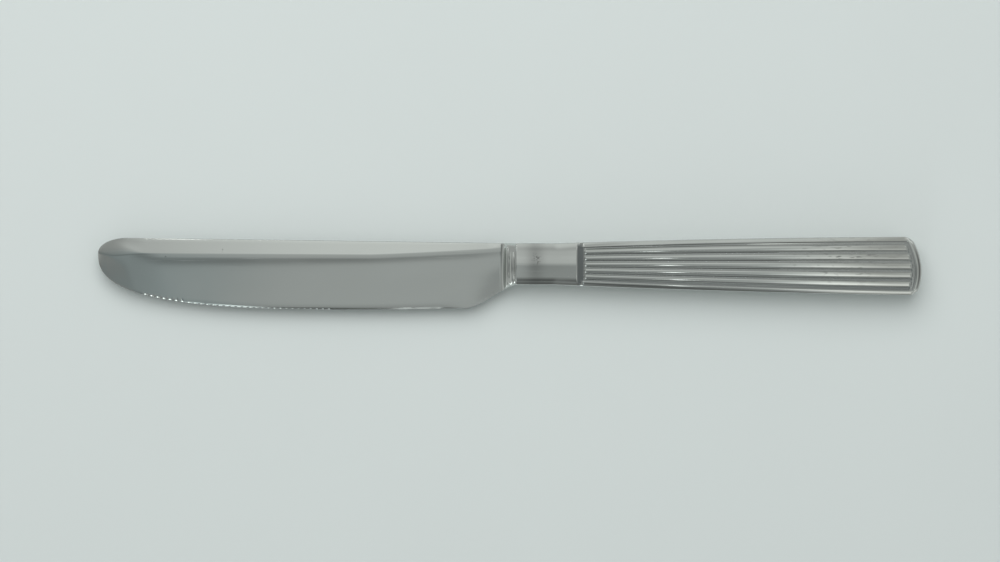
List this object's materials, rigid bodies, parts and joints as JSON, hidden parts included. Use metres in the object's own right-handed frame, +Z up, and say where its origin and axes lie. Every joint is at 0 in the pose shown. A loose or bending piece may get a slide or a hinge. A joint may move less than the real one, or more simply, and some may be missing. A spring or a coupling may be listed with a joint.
{
  "type": "lunch knife",
  "caption": "Steel table knife with a round-nosed, back-bevelled blade, fine teeth on its edge, a beaded collar and a flat tapering hollow handle with lengthwise ribs inside a raised rim.",
  "frame": {"origin": "middle of the knife's footprint, on the surface that it lies on", "axes": "+X from the point to the butt, +Y towards the blade's back, +Z up, square to the blade's flat"},
  "size_m": [0.21, 0.0192, 0.0076],
  "materials": {
    "blade_steel": "polished stainless steel with fine hairline scratches",
    "handle_steel": "polished pressed stainless steel, worn on the rib crests",
    "braze": "brazing metal polished flush",
    "cement": "set grey filler, hidden inside the handle"
  },
  "bodies": {
    "root": {"blade": "blade_steel", "handle_front_shell": "handle_steel", "handle_back_shell": "handle_steel", "handle_braze_seam": "braze", "handle_cement_core": "cement"}
  },
  "joints": []
}
